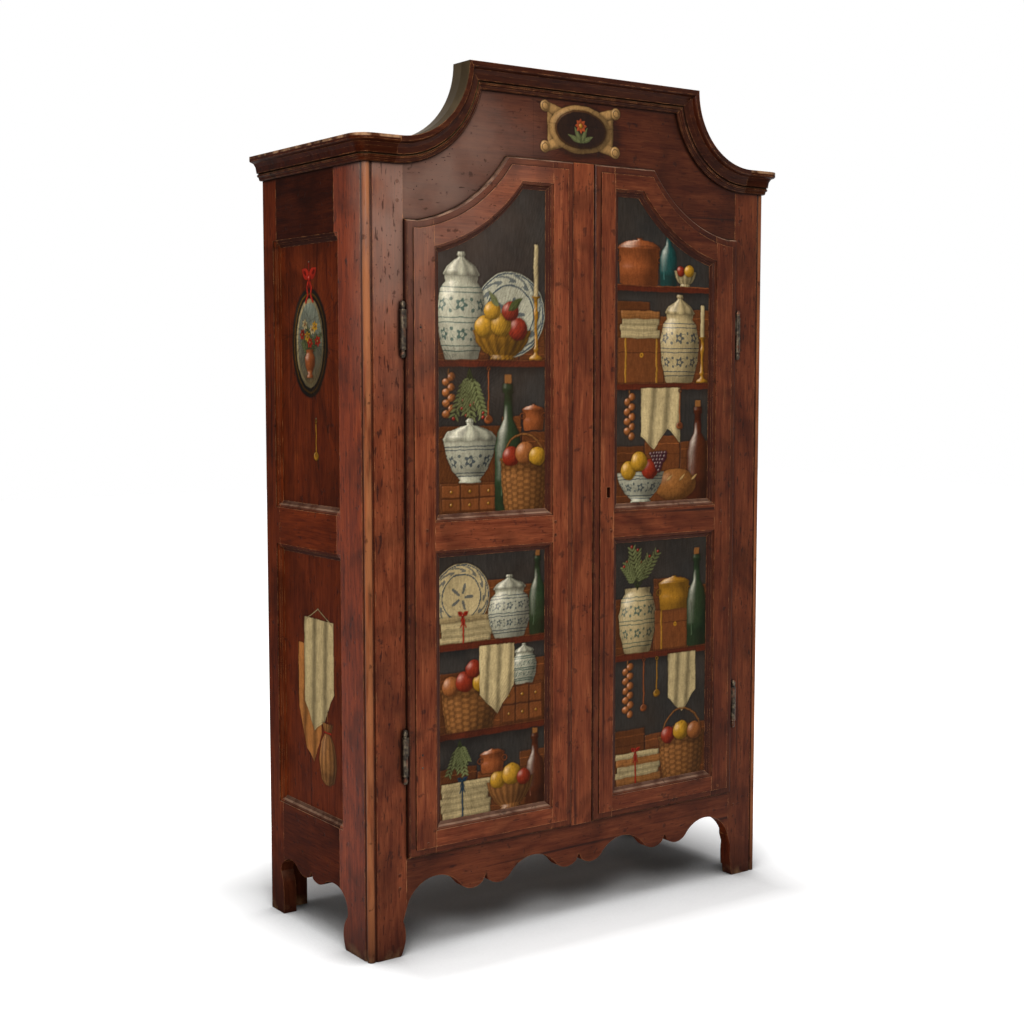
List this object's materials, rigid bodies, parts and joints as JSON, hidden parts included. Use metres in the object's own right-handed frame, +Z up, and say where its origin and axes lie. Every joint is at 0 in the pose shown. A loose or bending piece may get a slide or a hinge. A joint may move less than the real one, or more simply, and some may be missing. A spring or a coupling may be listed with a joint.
{
  "type": "kas cupboard",
  "caption": "Tall cupboard with arched crest and moulded cornice, painted sunk panels, a pair of hinged doors, inner shelves, lock and slide bolts, on shaped feet.",
  "frame": {"origin": "on the floor under the middle of the bounding box", "axes": "+X to the right as a person faces the doors, +Y from the doors to the back, +Z up"},
  "size_m": [1.358, 0.555, 2.18],
  "materials": {
    "carcass_walnut": "old waxed red-brown walnut with worn arrises",
    "door_walnut": "old waxed red-brown walnut",
    "moulded_walnut": "dark waxed walnut, scuffed on its edges",
    "painted_panel": "oil-painted and varnished panel",
    "plain_boards": "unpolished softwood boards, darkened with age",
    "wrought_iron": "dark wrought iron, rubbed bright on its high places"
  },
  "bodies": {
    "carcass": {"back_boards": "plain_boards", "back_bottom_rail": "plain_boards", "back_top_rail": "plain_boards", "crest_cornice": "moulded_walnut", "first_shelf": "plain_boards", "floor_boards": "plain_boards", "frieze_board": "carcass_walnut", "front_apron": "carcass_walnut", "left_front_post": "carcass_walnut", "left_lower_panel": "painted_panel", "left_rear_post": "carcass_walnut", "left_side_bottom_rail": "carcass_walnut", "left_side_cornice": "moulded_walnut", "left_side_middle_rail": "carcass_walnut", "left_side_top_rail": "carcass_walnut", "left_swept_cornice": "moulded_walnut", "left_upper_panel": "painted_panel", "post_hinge_halves": "wrought_iron", "right_front_post": "carcass_walnut", "right_lower_panel": "painted_panel", "right_rear_post": "carcass_walnut", "right_side_bottom_rail": "carcass_walnut", "right_side_cornice": "moulded_walnut", "right_side_middle_rail": "carcass_walnut", "right_side_top_rail": "carcass_walnut", "right_swept_cornice": "moulded_walnut", "right_upper_panel": "painted_panel", "roof_boards": "plain_boards", "second_shelf": "plain_boards", "shelf_cleats": "plain_boards", "third_shelf": "plain_boards"},
    "left_door": {"left_door_meeting_stile": "door_walnut", "left_door_hinge_stile": "door_walnut", "left_door_bottom_rail": "door_walnut", "left_door_middle_rail": "door_walnut", "left_door_arched_rail": "door_walnut", "left_door_lower_panel": "painted_panel", "left_door_upper_panel": "painted_panel", "left_door_hinge_halves": "wrought_iron", "meeting_cover_strip": "door_walnut", "lock_keeper": "wrought_iron", "slide_bolt_plates": "wrought_iron"},
    "right_door": {"right_door_meeting_stile": "door_walnut", "right_door_hinge_stile": "door_walnut", "right_door_bottom_rail": "door_walnut", "right_door_middle_rail": "door_walnut", "right_door_arched_rail": "door_walnut", "right_door_lower_panel": "painted_panel", "right_door_upper_panel": "painted_panel", "right_door_hinge_halves": "wrought_iron", "lock_case": "wrought_iron"},
    "lock_bolt": {"lock_bolt": "wrought_iron"},
    "upper_slide_bolt": {"upper_slide_bolt": "wrought_iron"},
    "lower_slide_bolt": {"lower_slide_bolt": "wrought_iron"}
  },
  "joints": [
    {"name": "left_door_swing", "type": "hinge", "parent": "carcass", "child": "left_door", "pos_m": [-0.5435, -0.249, 1], "axis": [0, 0, -1], "range_deg": [0, 170]},
    {"name": "right_door_swing", "type": "hinge", "parent": "carcass", "child": "right_door", "pos_m": [0.5435, -0.249, 1], "axis": [0, 0, 1], "range_deg": [0, 170]},
    {"name": "lock_bolt_throw", "type": "slide", "parent": "right_door", "child": "lock_bolt", "axis": [-1, 0, 0], "range_m": [0, 0.014]},
    {"name": "upper_bolt_slide", "type": "slide", "parent": "left_door", "child": "upper_slide_bolt", "axis": [0, 0, 1], "range_m": [0, 0.014]},
    {"name": "lower_bolt_slide", "type": "slide", "parent": "left_door", "child": "lower_slide_bolt", "axis": [0, 0, -1], "range_m": [0, 0.014]}
  ]
}
